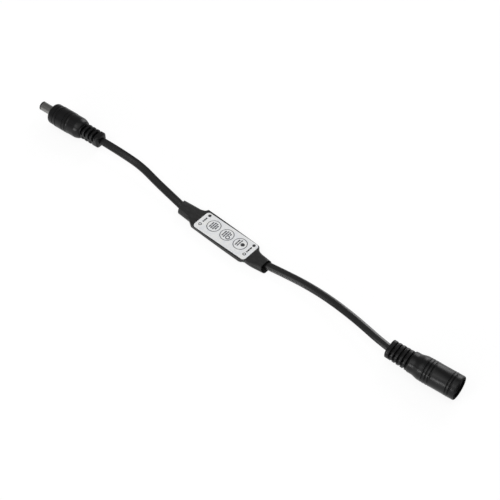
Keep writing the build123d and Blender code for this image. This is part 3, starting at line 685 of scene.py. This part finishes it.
plug_stations = [(14.8, 4.4), (14.9, 4.75), (15.15, 5.1), (15.5, 5.38), (16.0, 5.63), (16.6, 5.85),
                 (17.2, 6.04), (17.7, 6.18), (18.0, 6.25), (18.25, 6.28), (18.6, shoulder_radius),
                 (23.5, shoulder_radius), (23.6, shoulder_radius), (23.9, 6.43)]
plug_stations += ringed(24.2, 33.5, grip_radius, places=(25.0, 27.2, 32.3))
plug_stations += [(33.7, 6.42), (34.0, 6.27)]
plug_stations += ringed(34.1, 37.3, front_radius, places=(34.6,))
plug_stations += arc_stations(37.3, front_radius, front_round)
plug_stations += [(38.7, 3.05), (38.55, 2.85), (38.3, 2.76), (37.6, barrel_seat_radius),
                  (32.72, barrel_seat_radius)]
plug_body = turn_body("plug_body", plug_stations)
plug_relief = slotted_relief("plug_relief", span=(0.75, 16.5), tail=(8.1, -4.05, 4.05, 2.3),
                             neck=(8.1, -4.05, 4.05, 2.3), rounding=1.0, slots=(3.85, 2.95, 1.45, 4),
                             spines=(0.9, 0.4))
plug_moulding = mould("plug_moulding", plug_relief, plug_body, plug_tail, plug_axis)
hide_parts("plug_grip")

# vinyl off a finely eroded mould: matt to satin, grain a fifth of a millimetre across
grip_vinyl = grained("moulded_vinyl", tones=("#0c0c0d", "#101011"), grain=0.2 * mm, depth=0.002 * mm,
                     rough=(0.27, 0.36), IOR=1.53, Specular_IOR_Level=0.22)
wear(plug_moulding, grip_vinyl)

# nickel over brass, bright, with fine turning marks round the barrel
plate = grained("nickel_plate", tones=("#7d7c7a", "#8c8b89"), grain=0.12 * mm, depth=0.001 * mm,
                rough=(0.26, 0.36), stretch=(1, 12, 12), Metallic=1.0)
wear(nodes["plug_barrel"], plate)
wear(nodes["plug_contact"], plate)
wear(nodes["plug_insulator"], nylon)

# Socket: the same vinyl moulded round an insert that holds the centre pin and the sprung leaf. A tapered
# relief, a neck that flares into the grip, two bands of rings and a rounded lip.
socket_tail = (113.6, -2.65, 6.7)
socket_axis = (0.995499, 0.094772)
socket_length = 41.0
neck_radius = 5.8
body_radius = 6.64
band_radius = 6.74
lip_round = 0.6
insert_seat_radius = 4.905
lip_start = socket_length - lip_round
socket_stations = [(13.4, 5.35), (13.5, 5.62), (13.75, 5.77), (14.1, neck_radius), (16.0, neck_radius),
                   (16.5, 5.83), (17.1, 5.93), (18.9, 6.38), (19.6, 6.54), (20.2, 6.62), (20.8, body_radius),
                   (21.75, body_radius)]
socket_stations += ringed(22.0, 26.75, band_radius, places=(22.55, 24.3, 26.05))
socket_stations += [(27.0, body_radius), (27.2, body_radius), (35.2, body_radius)]
socket_stations += ringed(35.5, 38.1, band_radius, places=(36.0, 37.6))
socket_stations += [(38.35, body_radius), (38.6, body_radius), (lip_start, body_radius)]
socket_stations += arc_stations(lip_start, body_radius, lip_round)
socket_stations += [(socket_length, insert_seat_radius), (40.0, insert_seat_radius),
                    (27.4, insert_seat_radius)]
socket_body = turn_body("socket_body", socket_stations)
socket_relief = slotted_relief("socket_relief", span=(0, 15.5), tail=(10.4, -2.7, 3.75, 2.6),
                               neck=(11.0, -4.7, 4.0, 4.2), rounding=0.65, slots=(2.5, 2.42, 1.2, 5),
                               spines=(0.3, 1.4))
socket_moulding = mould("socket_moulding", socket_relief, socket_body, socket_tail, socket_axis)
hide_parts("socket_grip")
wear(socket_moulding, grip_vinyl)

# the end face and the bore: matt vinyl with almost no shine, its black painted darker than the grip as
# painted shade in the mouth and the bore
mouth_shade_vinyl = grained("mouth_painted_shade_vinyl", tones=("#0a0a0a", "#0e0e0e"), grain=0.2 * mm, depth=0.002 * mm,
                     rough=(0.8, 0.95), IOR=1.53, Specular_IOR_Level=0.05)
socket_moulding.data.materials.append(mouth_shade_vinyl)
bore_depth = 14 * mm
bore_reach = 5.2 * mm
facing_out = 0.8
outward = Vector((*socket_axis, 0))
mouth_centre = Vector(socket_tail) * mm + outward * socket_length * mm
# faces of the end face and of the bore take the darker vinyl with painted shade
for face in socket_moulding.data.polygons:
    depth = (face.center - mouth_centre).dot(outward)
    spread = (face.center - mouth_centre - outward * depth).length
    if depth > -bore_depth and (spread < bore_reach or face.normal.dot(outward) > facing_out):
        face.material_index = 1
wear(nodes["socket_insert"], nylon)
wear(nodes["socket_pin"], plate)
wear(nodes["socket_leaf"], plate)

# Table top, studio light and the camera at the photograph's angle. The paper is white to the camera and in
# reflections, and keeps the object's shadow.
table_size = 6
table_gap = 0.05 * mm
paper_glow = 0.87
room_level = 0.3
bpy.ops.object.select_all(action="DESELECT")
bpy.ops.mesh.primitive_grid_add(x_subdivisions=2, y_subdivisions=2, size=table_size,
                                location=(0, 0, -table_gap))
bpy.ops.object.transform_apply(location=True)
table = bpy.context.object
table.name = "table"
paper = bpy.data.materials.new("white_paper")
paper.use_nodes = True
paper.node_tree.nodes.clear()
ray = add_node(paper, "ShaderNodeLightPath", {})
seen = add_node(paper, "ShaderNodeMath", {0: ray.outputs["Is Camera Ray"], 1: ray.outputs["Is Glossy Ray"]},
                operation="MAXIMUM")
seen = add_node(paper, "ShaderNodeMath", {0: seen.outputs[0], 1: ray.outputs["Is Transmission Ray"]},
                operation="MAXIMUM")
lit = add_node(paper, "ShaderNodeBsdfDiffuse", {"Color": linear("#f2f2f2")})
shaded = add_node(paper, "ShaderNodeBsdfDiffuse", {"Color": linear("#707070")})
glow = add_node(paper, "ShaderNodeEmission", {"Color": (1, 1, 1, 1), "Strength": paper_glow})
white = add_node(paper, "ShaderNodeAddShader", {0: shaded.outputs[0], 1: glow.outputs[0]})
chosen = add_node(paper, "ShaderNodeMixShader", {0: seen.outputs[0], 1: lit.outputs[0], 2: white.outputs[0]})
add_node(paper, "ShaderNodeOutputMaterial", {"Surface": chosen.outputs[0]})
wear(table, paper)

world = bpy.data.worlds.new("studio")
bpy.context.scene.world = world
world.use_nodes = True
backdrop = world.node_tree.nodes["Background"]
backdrop.inputs["Color"].default_value = (1, 1, 1, 1)
ray = add_node(world, "ShaderNodeLightPath", {})
level = add_node(world, "ShaderNodeMapRange",
                 {"Value": ray.outputs["Is Camera Ray"], "To Min": room_level, "To Max": 1.0})
world.node_tree.links.new(level.outputs["Result"], backdrop.inputs["Strength"])


def softbox(name, direction, distance, width, height, power):
    """A flat lamp in metres and watts that faces the middle of the object from a direction."""
    data = bpy.data.lights.new(name, "AREA")
    data.shape = "RECTANGLE"
    data.size = width
    data.size_y = height
    data.energy = power
    lamp = bpy.data.objects.new(name, data)
    bpy.context.collection.objects.link(lamp)
    toward = Vector(direction).normalized()
    lamp.location = toward * distance
    lamp.rotation_euler = (-toward).to_track_quat("-Z", "Y").to_euler()


softbox("overhead", direction=(0.35, -0.4, 1.0), distance=1.1, width=1.5, height=1.5, power=5.8)
softbox("near_side", direction=(-0.16, -0.64, 0.75), distance=1.0, width=0.55, height=0.45, power=1.4)
softbox("low_side", direction=(-0.14, -0.96, 0.22), distance=1.0, width=0.4, height=0.2, power=2.9)
softbox("far_side", direction=(-0.15, 0.9, 0.4), distance=1.0, width=0.5, height=0.65, power=4)

azimuth = math.radians(41.64)
elevation = math.radians(49.92)
aim = Vector((14.50, 3.545, 0)) * mm
camera_distance = 0.7
sensor_width = 36
picture_pixels = 500
focal_pixels = 1289.3
back = Vector((math.sin(azimuth) * math.cos(elevation), -math.cos(azimuth) * math.cos(elevation),
               math.sin(elevation)))
lens = bpy.data.cameras.new("camera")
lens.sensor_width = sensor_width
lens.lens = sensor_width * focal_pixels / picture_pixels
lens.clip_start = 0.01
camera = bpy.data.objects.new("camera", lens)
bpy.context.collection.objects.link(camera)
camera.location = aim + back * camera_distance
camera.rotation_euler = back.to_track_quat("Z", "Y").to_euler()
bpy.context.scene.camera = camera
bpy.context.scene.view_settings.view_transform = "Standard"
